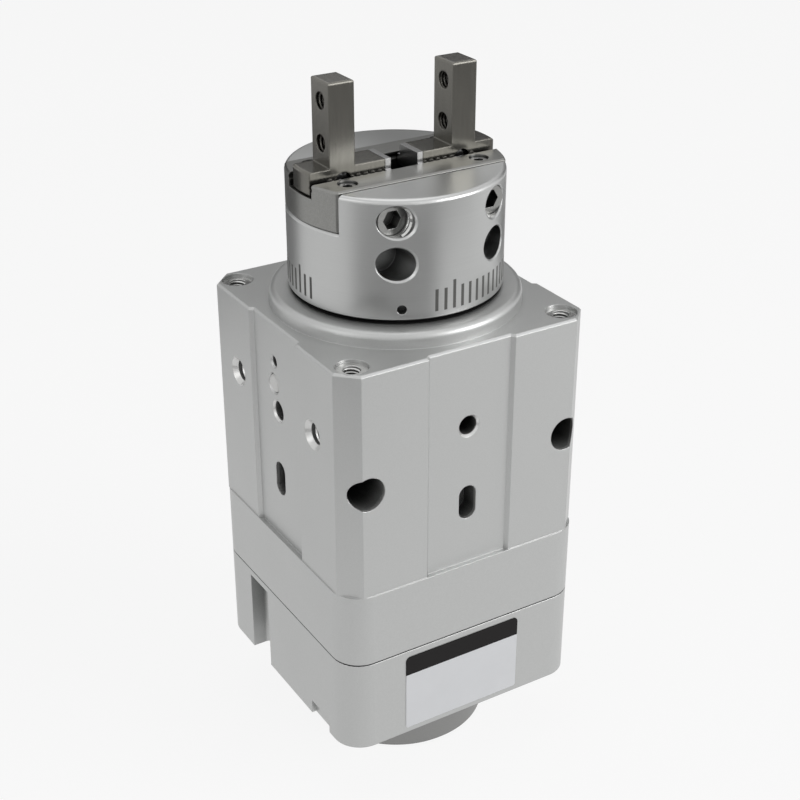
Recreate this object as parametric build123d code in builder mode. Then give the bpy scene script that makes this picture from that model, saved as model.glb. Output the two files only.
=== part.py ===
from build123d import *
import os
from math import asin, cos, degrees, radians, sin, sqrt

os.makedirs("parts", exist_ok=True)

# A square-bodied rotary gripper. A vane in the lower housing turns the round head, and a piston
# inside the head moves two fingers along a rail through a pair of levers. Millimetres, +Z up, the
# origin at the centre of the round foot's underside, on the axis that the head turns about.
# It is modelled at rest: the head at the start of its turn and the fingers open.

# Housing
body_side = 42.0
upper_inset = 0.15
corner_chamfer = 2.85
skirt_corner_r = 4.5
skirt_height = 12.0
upper_height = 47.9
lower_height = 15.4
foot_height = 10.7
foot_r = 14.45
boss_r = 18.8
boss_height = 2.4
boss_edge_r = 1.0
edge_break = 0.3
parting_edge = 0.15
strip_width = 14.5
strip_depth = 0.6
strip_slope = 0.45

# Mounting features of the housing, heights from the parting line
corner_hole_inset = 3.45
corner_hole_r = 1.25
corner_hole_depth = 8.0
spot_face_r = 2.4
spot_face_depth = 0.5
side_bolt_inset = 4.0
side_bolt_r = 2.65
side_bolt_height = 29.2
pin_hole_r = 1.5
pin_hole_depth = 5.0
pin_slot_length = 5.6
pin_slot_depth = 3.2
front_pin_height = 35.1
left_pin_height = 33.9
pin_slot_height = 22.4
mouth_chamfer = 0.28
side_thread_pitch = 23.5
side_thread_r = 1.65
side_thread_mouth_r = 2.3
side_thread_depth = 7.0
side_thread_height = 35.6
vent_r = 0.8
vent_depth = 2.5
vent_height = 41.7
vent_offset = 0.8
plug_r = 1.45
plug_mouth_r = 1.75
plug_depth = 3.0
plug_height = 38.0
plug_offset = 1.1
port_r = 2.1
port_mouth_r = 2.6
port_depth = 5.5
passage_r = 0.8
turn_port_pitch = 14.0
turn_port_height = 9.1

# Cut-outs of the lower housing's left side
flute_start = 5.0
flute_width = 6.1
flute_depth = 3.2
flute_corner_r = 1.0
flute_top_wall = 1.1
notch_start = 9.2
notch_width = 5.6
notch_height = 2.4
notch_depth = 0.7

# Turning unit
head_swing = 180.0
chamber_r = 14.5
chamber_height = 8.6
chamber_floor = 4.8
chamber_passage_depth = 1.2
cover_plate_r = 16.5
gasket_r = 15.6
gasket_thickness = 0.9
gasket_height = 0.7
vane_half_angle = 20.0
vane_margin = 1.5
vane_core_thickness = 3.2
vane_rubber = 1.2
vane_gap = 0.1
shaft_r = 6.0
journal_r = 4.0
bush_r = 5.2
spigot_r = 4.0
spigot_length = 7.4
spigot_flat = 0.8
tang_side = 5.0
tang_length = 4.5
shaft_bore_r = 7.6
shaft_seal_r = 5.4
shaft_seal_height = 1.2

# Screws of the housing and of the foot
housing_screw_inset = 4.0
housing_screw_r = 1.5
housing_screw_head_r = 2.75
housing_screw_head = 3.0
housing_screw_bite = 9.0
housing_screw_key = 2.5
foot_screw_circle = 11.5
foot_screw_r = 1.25
foot_screw_head_r = 2.25
foot_screw_head = 2.5
foot_screw_bite = 2.8
foot_screw_key = 2.0
foot_cavity_r = 8.4
foot_floor = 2.0
foot_edge = 0.5

# Bearings of the head
upper_race_r = 10.5
upper_race_wall = 1.5
upper_race_section = 5.0
upper_race_width = 4.5
upper_ball_r = 1.5
upper_ball_count = 10
lower_race_r = 6.5
lower_race_wall = 1.35
lower_race_section = 4.5
lower_race_width = 5.0
lower_ball_r = 1.2
lower_ball_count = 8
lower_race_floor = 4.9
clip_thickness = 0.8
clip_width = 1.7
clip_gap_angle = 30.0
clip_groove = 0.7
dust_seal_height = 0.8

# Head
head_gap = 0.5
drum_r = 15.9
drum_height = 17.8
drum_top_edge_r = 0.7
drum_low_edge = 0.3
collar_step = 0.4
head_hole_pitch = 15.9
head_hole_edge = 0.25
head_thread_r = 2.25
head_thread_depth = 4.5
head_thread_height = 14.55
head_plug_sink = 1.5
head_plug_key = 2.5
head_plug_key_depth = 1.8
head_bore_r = 2.4
head_bore_depth = 4.5
head_bore_height = 8.45
index_hole_r = 0.7
index_hole_depth = 1.6
index_hole_height = 1.8
index_hole_angle = 28.0

# Cylinder inside the head
tube_wall = 1.0
shank_length = 13.8
bore_r = 8.0
bore_length = 15.0
piston_length = 9.0
piston_end_room = 3.0
piston_seal_height = 1.6
piston_seal_depth = 1.3
magnet_height = 2.0
magnet_depth = 1.6
rod_r = 3.0
rod_seal_r = 4.5
rod_seal_height = 2.0
air_seal_height = 1.8
air_seal_depth = 1.4
air_groove_height = 2.0
air_groove_depth = 1.2
air_channel_step = 12.0
low_channel_height = 21.4
tube_seal_height = 1.4
tube_seal_depth = 0.9
tube_seal_place = 1.2

# Rail, levers and fingers
guide_height = 6.0
guide_rise = 0.3
guide_half_width = 7.65
guide_end_r = 15.8
guide_edge = 0.25
track_half_width = 3.3
track_depth = 2.0
guide_screw_x = 10.8
guide_screw_y = 5.2
guide_screw_r = 0.8
guide_screw_head_r = 1.4
guide_screw_head = 1.2
guide_screw_sink = 0.35
guide_screw_bite = 3.5
guide_screw_key = 1.3
finger_stroke = 2.0
finger_width = 4.8
finger_thickness = 4.0
finger_centre = 10.0
finger_height = 12.0
finger_edge_r = 0.3
finger_hole_r = 1.25
finger_hole_pitch = 6.0
finger_hole_tip = 2.9
carriage_height = 3.2
carriage_gap = 0.2
carriage_inner = 3.1
carriage_outer_r = 15.4
carriage_edge_r = 0.4
end_plate_thickness = 0.9
end_plate_wing = 0.7
end_plate_wing_height = 1.6
ball_r = 0.55
ball_pitch = 1.15
ball_count = 8
ball_height = 1.1
lever_pivot_x = 8.8
lever_pivot_drop = 7.0
lever_arm = 6.4
lever_reach = 5.12
lever_thickness = 3.4
lever_neck = 1.8
lever_hub_r = 2.2
lever_tip_r = 1.2
lever_toe_r = 1.1
lever_pin_r = 1.0
lever_pin_length = 9.0
lever_slot_depth = 3.8
lever_slot_length = 23.0
spool_cavity_r = 5.6
spool_cavity_depth = 5.2
spool_flange_r = 4.8
spool_flange = 1.3
spool_neck_r = 2.2
rail_pocket_height = 3.0
rail_window_length = 8.0

# Clearances: between pieces of one body, between pieces that turn or slide, and beside the levers
seat = 0.03
run = 0.05
side_play = 0.25

# Levels along the axis
parting_z = foot_height + lower_height
skirt_z = parting_z + skirt_height
top_z = parting_z + upper_height
boss_z = top_z + boss_height
drum_z = boss_z + head_gap
drum_top_z = drum_z + drum_height
guide_top_z = drum_top_z + guide_rise
guide_z = guide_top_z - guide_height
track_z = guide_top_z - track_depth
carriage_z = track_z + carriage_gap
carriage_top_z = carriage_z + carriage_height
finger_top_z = carriage_top_z + finger_height
chamber_z = foot_height + chamber_floor
chamber_top_z = chamber_z + chamber_height
clip_z = boss_z - dust_seal_height - clip_thickness
race_z = clip_z - upper_race_width
lower_race_z = parting_z + lower_race_floor
lower_race_top_z = lower_race_z + lower_race_width
tube_z = lower_race_top_z + head_gap
bore_top_z = clip_z - shank_length
bore_z = bore_top_z - bore_length
piston_z = bore_top_z - piston_end_room - piston_length
low_channel_z = parting_z + low_channel_height
high_channel_z = low_channel_z + air_channel_step
pivot_z = guide_top_z - lever_pivot_drop
ball_z = carriage_z + ball_height

# The levers swing half of the stroke each side of upright, and the piston follows their toes
half_swing = degrees(asin(finger_stroke / 2 / lever_arm))
piston_stroke = finger_stroke * lever_reach / lever_arm
spool_z = pivot_z + piston_stroke / 2
spool_gap = 2 * (lever_toe_r + run)

# Radii and half widths that fit one another
upper_side = body_side - 2 * upper_inset
strip_face = upper_side / 2 - strip_depth
corner_hole_pitch = body_side - 2 * corner_hole_inset
side_bolt_pitch = body_side - 2 * side_bolt_inset
housing_screw_pitch = body_side - 2 * housing_screw_inset
tube_r = upper_race_r + tube_wall
main_bore_r = tube_r + run
upper_race_outer_r = upper_race_r + upper_race_section
lower_race_outer_r = lower_race_r + lower_race_section
collar_r = upper_race_r + upper_race_wall + collar_step
race_seat_r = upper_race_outer_r + seat
clip_groove_r = race_seat_r + clip_groove
ball_line = (finger_width / 2 + track_half_width) / 2
stopper_half_angle = (360 - head_swing) / 2 - vane_half_angle - vane_margin

# Planes of the housing's sides, with local X to the right and local Y up
front_face = Plane(origin=(0, -upper_side / 2, 0), x_dir=(1, 0, 0), z_dir=(0, -1, 0))
front_strip = Plane(origin=(0, -strip_face, 0), x_dir=(1, 0, 0), z_dir=(0, -1, 0))
left_face = Plane(origin=(-upper_side / 2, 0, 0), x_dir=(0, -1, 0), z_dir=(-1, 0, 0))
left_strip = Plane(origin=(-strip_face, 0, 0), x_dir=(0, -1, 0), z_dir=(-1, 0, 0))
rear_strip = Plane(origin=(0, strip_face, 0), x_dir=(-1, 0, 0), z_dir=(0, 1, 0))
lower_rear = Plane(origin=(0, body_side / 2, 0), x_dir=(-1, 0, 0), z_dir=(0, 1, 0))
lower_left = Plane(origin=(-body_side / 2, 0, 0), x_dir=(0, -1, 0), z_dir=(-1, 0, 0))

# Plane across the mouths of the drum's side holes
head_mouth_y = -sqrt(drum_r**2 - head_hole_pitch**2 / 4)
head_hole_mouth = Plane(origin=(0, head_mouth_y, 0), x_dir=(1, 0, 0), z_dir=(0, -1, 0))


def save(builder, name):
    """Label a finished piece and write it to its own file."""
    builder.part.label = name
    export_step(builder.part, f"parts/{name}.step")


def turned_ring(outer_r, inner_r, low, high):
    """A plain ring about the main axis between two levels."""
    with BuildPart() as piece:
        with BuildSketch(Plane.XY.offset(low)):
            Circle(outer_r)
            Circle(inner_r, mode=Mode.SUBTRACT)
        extrude(amount=high - low)
    return piece


def race(outer_r, inner_r, low, width, ball_line_r, groove_r):
    """A bearing ring with a groove for its balls halfway up."""
    with BuildPart() as piece:
        with BuildSketch(Plane.XZ):
            with Locations((inner_r, low)):
                Rectangle(outer_r - inner_r, width, align=Align.MIN)
            with Locations((ball_line_r, low + width / 2)):
                Circle(groove_r, mode=Mode.SUBTRACT)
        revolve(axis=Axis.Z)
    return piece


def socket_screw(head_r, head, shank_r, shank, key):
    """A socket-head screw that points up: its head below Z = 0 and its shank above."""
    with BuildPart() as screw:
        Cylinder(head_r, head, align=(Align.CENTER, Align.CENTER, Align.MAX))
        chamfer(screw.edges().group_by(Axis.Z)[0], head / 10)
        Cylinder(shank_r, shank, align=(Align.CENTER, Align.CENTER, Align.MIN))
        with BuildSketch(Plane.XY.offset(-head)):
            RegularPolygon(key / 2, 6, major_radius=False)
        extrude(amount=head * 0.6, mode=Mode.SUBTRACT)
    return screw


# Upper housing: a machined block with chamfered corners and a shallow strip down each side, a wider
# skirt at the bottom and a round boss on top, bored in steps for the head's bearings and cylinder
with BuildPart() as upper_housing:
    with BuildSketch(Plane.XY.offset(parting_z)) as skirt_outline:
        Rectangle(body_side, body_side)
        fillet(skirt_outline.vertices(), skirt_corner_r)
    extrude(amount=skirt_height)
    chamfer(upper_housing.edges().group_by(Axis.Z)[0], parting_edge)
    with BuildSketch(Plane.XY.offset(skirt_z)) as upper_outline:
        Rectangle(upper_side, upper_side)
        chamfer(upper_outline.vertices(), corner_chamfer)
        with PolarLocations(upper_side / 2, 4):
            Polygon(
                (edge_break, -strip_width / 2),
                (0, -strip_width / 2),
                (-strip_depth, -strip_width / 2 + strip_slope),
                (-strip_depth, strip_width / 2 - strip_slope),
                (0, strip_width / 2),
                (edge_break, strip_width / 2),
                align=None,
                mode=Mode.SUBTRACT,
            )
    extrude(amount=upper_height - skirt_height)
    top_faces = upper_housing.faces().filter_by(Plane.XY).sort_by(Axis.Z)
    chamfer(top_faces[-1].outer_wire().edges(), edge_break)
    with BuildSketch(Plane.XY.offset(top_z)):
        Circle(boss_r)
    extrude(amount=boss_height)
    fillet(upper_housing.edges().filter_by(GeomType.CIRCLE).sort_by(Axis.Z)[-1], boss_edge_r)
    # Stepped bore, from the shaft's way through the floor to the mouth of the boss
    with BuildSketch(Plane.XZ):
        with BuildLine():
            Polyline(
                (0, parting_z),
                (shaft_bore_r, parting_z),
                (shaft_bore_r, lower_race_z),
                (lower_race_outer_r + seat, lower_race_z),
                (lower_race_outer_r + seat, lower_race_top_z),
                (main_bore_r, lower_race_top_z),
                (main_bore_r, race_z),
                (race_seat_r, race_z),
                (race_seat_r, clip_z),
                (clip_groove_r, clip_z),
                (clip_groove_r, clip_z + clip_thickness),
                (race_seat_r, clip_z + clip_thickness),
                (race_seat_r, boss_z),
                (0, boss_z),
                close=True,
            )
        make_face()
    revolve(axis=Axis.Z, mode=Mode.SUBTRACT)
    # Two air channels round the cylinder, and grooves for the seals between and beside them
    for channel_z in (low_channel_z, high_channel_z):
        with BuildSketch(Plane.XY.offset(channel_z - air_groove_height / 2)):
            Circle(main_bore_r + air_groove_depth)
        extrude(amount=air_groove_height, mode=Mode.SUBTRACT)
    for seal_step in (-1, 1, 3):
        seal_z = low_channel_z + seal_step * air_channel_step / 2
        with BuildSketch(Plane.XY.offset(seal_z - air_seal_height / 2)):
            Circle(main_bore_r + air_seal_depth)
        extrude(amount=air_seal_height, mode=Mode.SUBTRACT)
    # Bolt holes right through, which just break out of the chamfered corners
    with Locations(front_face):
        with Locations((0, parting_z + side_bolt_height)):
            with GridLocations(side_bolt_pitch, 0, 2, 1):
                Hole(side_bolt_r, depth=upper_side)
    # Locating pin hole and slot of the front and left sides
    for strip, pin_height in ((front_strip, front_pin_height), (left_strip, left_pin_height)):
        with Locations(strip):
            with Locations((0, parting_z + pin_height)):
                CounterSinkHole(pin_hole_r, pin_hole_r + mouth_chamfer, depth=pin_hole_depth)
        with BuildSketch(strip):
            with Locations((0, parting_z + pin_slot_height)):
                SlotOverall(pin_slot_length, 2 * pin_hole_r, rotation=90)
        extrude(amount=-pin_slot_depth, mode=Mode.SUBTRACT)
    # Threaded holes, vent and plugged passage of the left side
    with Locations(left_face):
        with Locations((0, parting_z + side_thread_height)):
            with GridLocations(side_thread_pitch, 0, 2, 1):
                CounterSinkHole(side_thread_r, side_thread_mouth_r, depth=side_thread_depth)
    with Locations(left_strip):
        with Locations((-vent_offset, parting_z + vent_height)):
            CounterSinkHole(vent_r, vent_r + mouth_chamfer, depth=vent_depth)
        with Locations((-plug_offset, parting_z + plug_height)):
            CounterSinkHole(plug_r + seat, plug_mouth_r, depth=plug_depth)
    # Finger air ports of the rear side, each with its passage to an air channel
    with Locations(rear_strip):
        with Locations((0, low_channel_z), (0, high_channel_z)):
            CounterSinkHole(port_r, port_mouth_r, depth=port_depth)
            Hole(passage_r, depth=strip_face - main_bore_r)
    # Threaded corner holes of the top, each with its spot face
    with Locations((0, 0, top_z)):
        with GridLocations(corner_hole_pitch, corner_hole_pitch, 2, 2):
            CounterBoreHole(corner_hole_r, spot_face_r, spot_face_depth, depth=corner_hole_depth)
    # Holes for the screws that come up from the lower housing
    with BuildSketch(Plane.XY.offset(parting_z)):
        with GridLocations(housing_screw_pitch, housing_screw_pitch, 2, 2):
            Circle(housing_screw_r + seat)
    extrude(amount=housing_screw_bite + seat, mode=Mode.SUBTRACT)
save(upper_housing, "upper_housing")

# Lower housing: the square base block with the vane chamber, a flute and a notch on its left side,
# and two air ports on its rear side that reach the chamber beside the stopper
screw_seat_z = foot_height + housing_screw_head
flute_wall_x = -body_side / 2 + flute_depth
with BuildPart() as lower_housing:
    with BuildSketch(Plane.XY.offset(foot_height)) as base_outline:
        Rectangle(body_side, body_side)
        fillet(base_outline.vertices(), skirt_corner_r)
        with Locations((-body_side / 2, flute_start)):
            Rectangle(flute_depth, flute_width, align=Align.MIN, mode=Mode.SUBTRACT)
        flute_corners = base_outline.vertices().filter_by_position(
            Axis.X, flute_wall_x - seat, flute_wall_x + seat
        )
        fillet(flute_corners.filter_by_position(Axis.Y, 0, flute_start + 2 * flute_width), flute_corner_r)
    extrude(amount=lower_height - flute_top_wall)
    with BuildSketch(Plane.XY.offset(parting_z - flute_top_wall)) as flute_cap:
        Rectangle(body_side, body_side)
        fillet(flute_cap.vertices(), skirt_corner_r)
    extrude(amount=flute_top_wall)
    chamfer(lower_housing.edges().group_by(Axis.Z)[-1], parting_edge)
    # Notch in the bottom edge of the left side
    with BuildSketch(lower_left):
        with Locations((notch_start, foot_height)):
            Rectangle(notch_width, notch_height, align=Align.MIN)
    extrude(amount=-notch_depth, mode=Mode.SUBTRACT)
    # Shaft bore, chamber, groove of its O-ring and recess of its cover plate
    with BuildSketch(Plane.XZ):
        with BuildLine():
            Polyline(
                (0, foot_height),
                (bush_r + seat, foot_height),
                (bush_r + seat, chamber_z - shaft_seal_height),
                (shaft_seal_r + seat, chamber_z - shaft_seal_height),
                (shaft_seal_r + seat, chamber_z),
                (chamber_r, chamber_z),
                (chamber_r, chamber_top_z),
                (gasket_r - gasket_thickness / 2 - seat, chamber_top_z),
                (gasket_r - gasket_thickness / 2 - seat, chamber_top_z - gasket_height),
                (gasket_r + gasket_thickness / 2 + seat, chamber_top_z - gasket_height),
                (gasket_r + gasket_thickness / 2 + seat, chamber_top_z),
                (cover_plate_r + seat, chamber_top_z),
                (cover_plate_r + seat, parting_z),
                (0, parting_z),
                close=True,
            )
        make_face()
    revolve(axis=Axis.Z, mode=Mode.SUBTRACT)
    # Ports, their passages, and the arcs that lead the air past the stopper's ends
    with Locations(lower_rear):
        with Locations((0, foot_height + turn_port_height)):
            with GridLocations(turn_port_pitch, 0, 2, 1):
                CounterSinkHole(port_r, port_mouth_r, depth=port_depth)
                Hole(passage_r, depth=body_side / 2 - sqrt(chamber_r**2 - turn_port_pitch**2 / 4))
    for side in (-1, 1):
        with BuildSketch(Plane.XZ.rotated((0, 0, 90 + side * (stopper_half_angle + 3 * vane_margin)))):
            with Locations((chamber_r - seat, foot_height + turn_port_height)):
                Rectangle(
                    chamber_passage_depth + seat, 2 * passage_r, align=(Align.MIN, Align.CENTER)
                )
        revolve(axis=Axis.Z, revolution_arc=-side * stopper_half_angle * 0.75, mode=Mode.SUBTRACT)
    # Holes of the screws to the upper housing, with sunk heads, and of the foot's screws
    with BuildSketch(Plane.XY.offset(foot_height)):
        with GridLocations(housing_screw_pitch, housing_screw_pitch, 2, 2):
            Circle(housing_screw_head_r + run)
    extrude(amount=housing_screw_head, mode=Mode.SUBTRACT)
    with BuildSketch(Plane.XY.offset(foot_height)):
        with GridLocations(housing_screw_pitch, housing_screw_pitch, 2, 2):
            Circle(housing_screw_r + seat)
    extrude(amount=lower_height, mode=Mode.SUBTRACT)
    with BuildSketch(Plane.XY.offset(foot_height)):
        with PolarLocations(foot_screw_circle, 4):
            Circle(foot_screw_r + seat)
    extrude(amount=foot_screw_bite + seat, mode=Mode.SUBTRACT)
save(lower_housing, "lower_housing")

# Bottom cover: the round foot, a cup over the shaft's end, held by four sunk screws
with BuildPart() as bottom_cover:
    with BuildSketch():
        Circle(foot_r)
    extrude(amount=foot_height)
    chamfer(bottom_cover.edges().group_by(Axis.Z)[0], foot_edge)
    with BuildSketch(Plane.XY.offset(foot_floor)):
        Circle(foot_cavity_r)
    extrude(amount=foot_height, mode=Mode.SUBTRACT)
    with BuildSketch():
        with PolarLocations(foot_screw_circle, 4):
            Circle(foot_screw_head_r + run)
    extrude(amount=foot_screw_head, mode=Mode.SUBTRACT)
    with BuildSketch():
        with PolarLocations(foot_screw_circle, 4):
            Circle(foot_screw_r + seat)
    extrude(amount=foot_height, mode=Mode.SUBTRACT)
save(bottom_cover, "bottom_cover")

# Screws of the foot and of the housings
foot_screw_shank = foot_height - foot_screw_head + foot_screw_bite
foot_screw = socket_screw(
    foot_screw_head_r, foot_screw_head, foot_screw_r, foot_screw_shank, foot_screw_key
)
with BuildPart() as cover_screws:
    with Locations((0, 0, foot_screw_head)):
        with PolarLocations(foot_screw_circle, 4, rotate=False):
            add(foot_screw.part)
save(cover_screws, "cover_screws")

housing_screw_shank = parting_z - screw_seat_z + housing_screw_bite
housing_screw = socket_screw(
    housing_screw_head_r, housing_screw_head, housing_screw_r, housing_screw_shank, housing_screw_key
)
with BuildPart() as housing_screws:
    with Locations((0, 0, screw_seat_z)):
        with GridLocations(housing_screw_pitch, housing_screw_pitch, 2, 2):
            add(housing_screw.part)
save(housing_screws, "housing_screws")

# Plug of the air passage in the left side, with a rounded face
with BuildPart() as passage_plug:
    with Locations(left_strip):
        with Locations((-plug_offset, parting_z + plug_height)):
            Cylinder(plug_r, plug_depth, align=(Align.CENTER, Align.CENTER, Align.MAX))
    fillet(passage_plug.edges().group_by(Axis.X)[0], plug_r / 3)
save(passage_plug, "passage_plug")

# Cover plate of the vane chamber, its O-ring, and the fixed stopper that divides the chamber
chamber_cover = turned_ring(cover_plate_r, shaft_r + run, chamber_top_z, parting_z)
save(chamber_cover, "chamber_cover")

chamber_gasket = turned_ring(
    gasket_r + gasket_thickness / 2,
    gasket_r - gasket_thickness / 2,
    chamber_top_z - gasket_height,
    chamber_top_z,
)
save(chamber_gasket, "chamber_gasket")

with BuildPart() as vane_stopper:
    with BuildSketch(Plane.XZ.rotated((0, 0, 90 - stopper_half_angle))):
        with Locations((shaft_r + vane_gap, chamber_z)):
            Rectangle(chamber_r - seat - shaft_r - vane_gap, chamber_height, align=Align.MIN)
    revolve(axis=Axis.Z, revolution_arc=2 * stopper_half_angle)
    fillet(vane_stopper.edges().filter_by(Axis.Z), edge_break)
save(vane_stopper, "vane_stopper")

# Bush and seal of the shaft in the lower housing's floor
shaft_bush = turned_ring(bush_r, journal_r + run, foot_height, chamber_z - shaft_seal_height)
save(shaft_bush, "shaft_bush")

shaft_seal = turned_ring(shaft_seal_r, journal_r + run, chamber_z - shaft_seal_height, chamber_z)
save(shaft_seal, "shaft_seal")

# Outer rings of the head's bearings
upper_ball_line = (upper_race_r + upper_race_outer_r) / 2
upper_bearing_outer_ring = race(
    upper_race_outer_r,
    upper_race_outer_r - upper_race_wall,
    race_z,
    upper_race_width,
    upper_ball_line,
    upper_ball_r + run,
)
save(upper_bearing_outer_ring, "upper_bearing_outer_ring")

lower_ball_line = (lower_race_r + lower_race_outer_r) / 2
lower_bearing_outer_ring = race(
    lower_race_outer_r,
    lower_race_outer_r - lower_race_wall,
    lower_race_z,
    lower_race_width,
    lower_ball_line,
    lower_ball_r + run,
)
save(lower_bearing_outer_ring, "lower_bearing_outer_ring")

# Circlip in the boss's groove, open at the rear, and the seal over it
with BuildPart() as bearing_circlip:
    with BuildSketch(Plane.XZ.rotated((0, 0, 90 + clip_gap_angle / 2))):
        with Locations((clip_groove_r - seat - clip_width, clip_z)):
            Rectangle(clip_width, clip_thickness, align=Align.MIN)
    revolve(axis=Axis.Z, revolution_arc=360 - clip_gap_angle)
save(bearing_circlip, "bearing_circlip")

dust_seal = turned_ring(upper_race_outer_r, collar_r + run, clip_z + clip_thickness, boss_z)
save(dust_seal, "dust_seal")

# Seals between the air channels, which bear on the turning cylinder
with BuildPart() as air_seals:
    for seal_step in (-1, 1, 3):
        seal_z = low_channel_z + seal_step * air_channel_step / 2
        with BuildSketch(Plane.XY.offset(seal_z - air_seal_height / 2)):
            Circle(main_bore_r + air_seal_depth - seat)
            Circle(tube_r + run, mode=Mode.SUBTRACT)
        extrude(amount=air_seal_height)
save(air_seals, "air_seals")

# Gripper head: the drum with its collar and shank in one turned piece, a pocket across the top for
# the rail, a cavity for the rod's spool, and a slot with open grooves for the levers and their pins
cavity_z = guide_z - spool_cavity_depth
rod_seal_z = cavity_z - rod_seal_height
with BuildPart() as gripper_head:
    with BuildSketch(Plane.XZ):
        with BuildLine():
            Polyline(
                (rod_r + run, bore_top_z),
                (upper_race_r - seat, bore_top_z),
                (upper_race_r - seat, clip_z),
                (collar_r, clip_z),
                (collar_r, drum_z),
                (drum_r, drum_z),
                (drum_r, drum_top_z),
                (spool_cavity_r, drum_top_z),
                (spool_cavity_r, cavity_z),
                (rod_seal_r + seat, cavity_z),
                (rod_seal_r + seat, rod_seal_z),
                (rod_r + run, rod_seal_z),
                close=True,
            )
        make_face()
    revolve(axis=Axis.Z)
    rims = gripper_head.edges().filter_by(GeomType.CIRCLE).group_by(SortBy.RADIUS)[-1]
    fillet(rims.sort_by(Axis.Z)[-1], drum_top_edge_r)
    chamfer(rims.sort_by(Axis.Z)[0], drum_low_edge)
    with BuildSketch(Plane.XY.offset(guide_z)):
        Rectangle(2 * drum_r, 2 * (guide_half_width + side_play))
    extrude(amount=guide_height, mode=Mode.SUBTRACT)
    ledge = gripper_head.faces().filter_by(Plane.XY).filter_by_position(
        Axis.Z, guide_z - seat, guide_z + seat
    )
    ledge_rims = ledge.edges().filter_by(GeomType.CIRCLE).group_by(SortBy.RADIUS)[-1]
    chamfer(ledge_rims, edge_break)
    with BuildSketch(Plane.XY.offset(guide_z)):
        Rectangle(lever_slot_length, lever_thickness + 2 * side_play)
    extrude(amount=-lever_slot_depth, mode=Mode.SUBTRACT)
    # Grooves for the lever pins, open at the top, where the rail closes them
    with BuildSketch(Plane.XZ.offset(-lever_pin_length / 2 - seat)):
        with Locations((-lever_pivot_x, pivot_z), (lever_pivot_x, pivot_z)):
            Circle(lever_pin_r + seat)
            Rectangle(
                2 * (lever_pin_r + seat), guide_z - pivot_z + seat, align=(Align.CENTER, Align.MIN)
            )
    extrude(amount=lever_pin_length + 2 * seat, mode=Mode.SUBTRACT)
    # Groove for the seal on the shank's end
    with BuildSketch(Plane.XY.offset(bore_top_z + tube_seal_place)):
        Circle(upper_race_r)
        Circle(upper_race_r - seat - tube_seal_depth, mode=Mode.SUBTRACT)
    extrude(amount=tube_seal_height, mode=Mode.SUBTRACT)
    # Side holes of the drum, square to its front: a thread over a plain bore at each side
    for hole_r, hole_height, hole_depth in (
        (head_thread_r, head_thread_height, head_thread_depth),
        (head_bore_r, head_bore_height, head_bore_depth),
    ):
        with BuildSketch(head_hole_mouth.offset(-hole_depth)):
            with Locations((0, drum_z + hole_height)):
                with GridLocations(head_hole_pitch, 0, 2, 1):
                    Circle(hole_r)
        extrude(amount=drum_r, mode=Mode.SUBTRACT)
        hole_rims = gripper_head.edges(Select.LAST).filter_by(GeomType.BSPLINE)
        chamfer(hole_rims, head_hole_edge)
    index_out = (-sin(radians(index_hole_angle)), -cos(radians(index_hole_angle)), 0)
    index_side = Plane(
        origin=(drum_r * index_out[0], drum_r * index_out[1], drum_z + index_hole_height),
        z_dir=index_out,
    )
    with Locations(index_side):
        Hole(index_hole_r, depth=index_hole_depth)
    # Threads of the rail's screws
    with BuildSketch(Plane.XY.offset(guide_z)):
        with GridLocations(2 * guide_screw_x, 2 * guide_screw_y, 2, 2):
            Circle(guide_screw_r + seat)
    extrude(amount=-guide_screw_bite - seat, mode=Mode.SUBTRACT)
save(gripper_head, "gripper_head")

# Set screws that plug the drum's threaded holes, each with a hexagon socket
with BuildPart() as head_plugs:
    with BuildSketch(head_hole_mouth.offset(-head_plug_sink)):
        with Locations((0, drum_z + head_thread_height)):
            with GridLocations(head_hole_pitch, 0, 2, 1):
                Circle(head_thread_r - seat)
    extrude(amount=head_plug_sink - head_thread_depth)
    with BuildSketch(head_hole_mouth.offset(-head_plug_sink)):
        with Locations((0, drum_z + head_thread_height)):
            with GridLocations(head_hole_pitch, 0, 2, 1):
                RegularPolygon(head_plug_key / 2, 6, major_radius=False)
    extrude(amount=-head_plug_key_depth, mode=Mode.SUBTRACT)
save(head_plugs, "head_plugs")

# Rod seal in the head, under the spool's cavity
rod_seal = turned_ring(rod_seal_r, rod_r + run, rod_seal_z, cavity_z)
save(rod_seal, "rod_seal")

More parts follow.
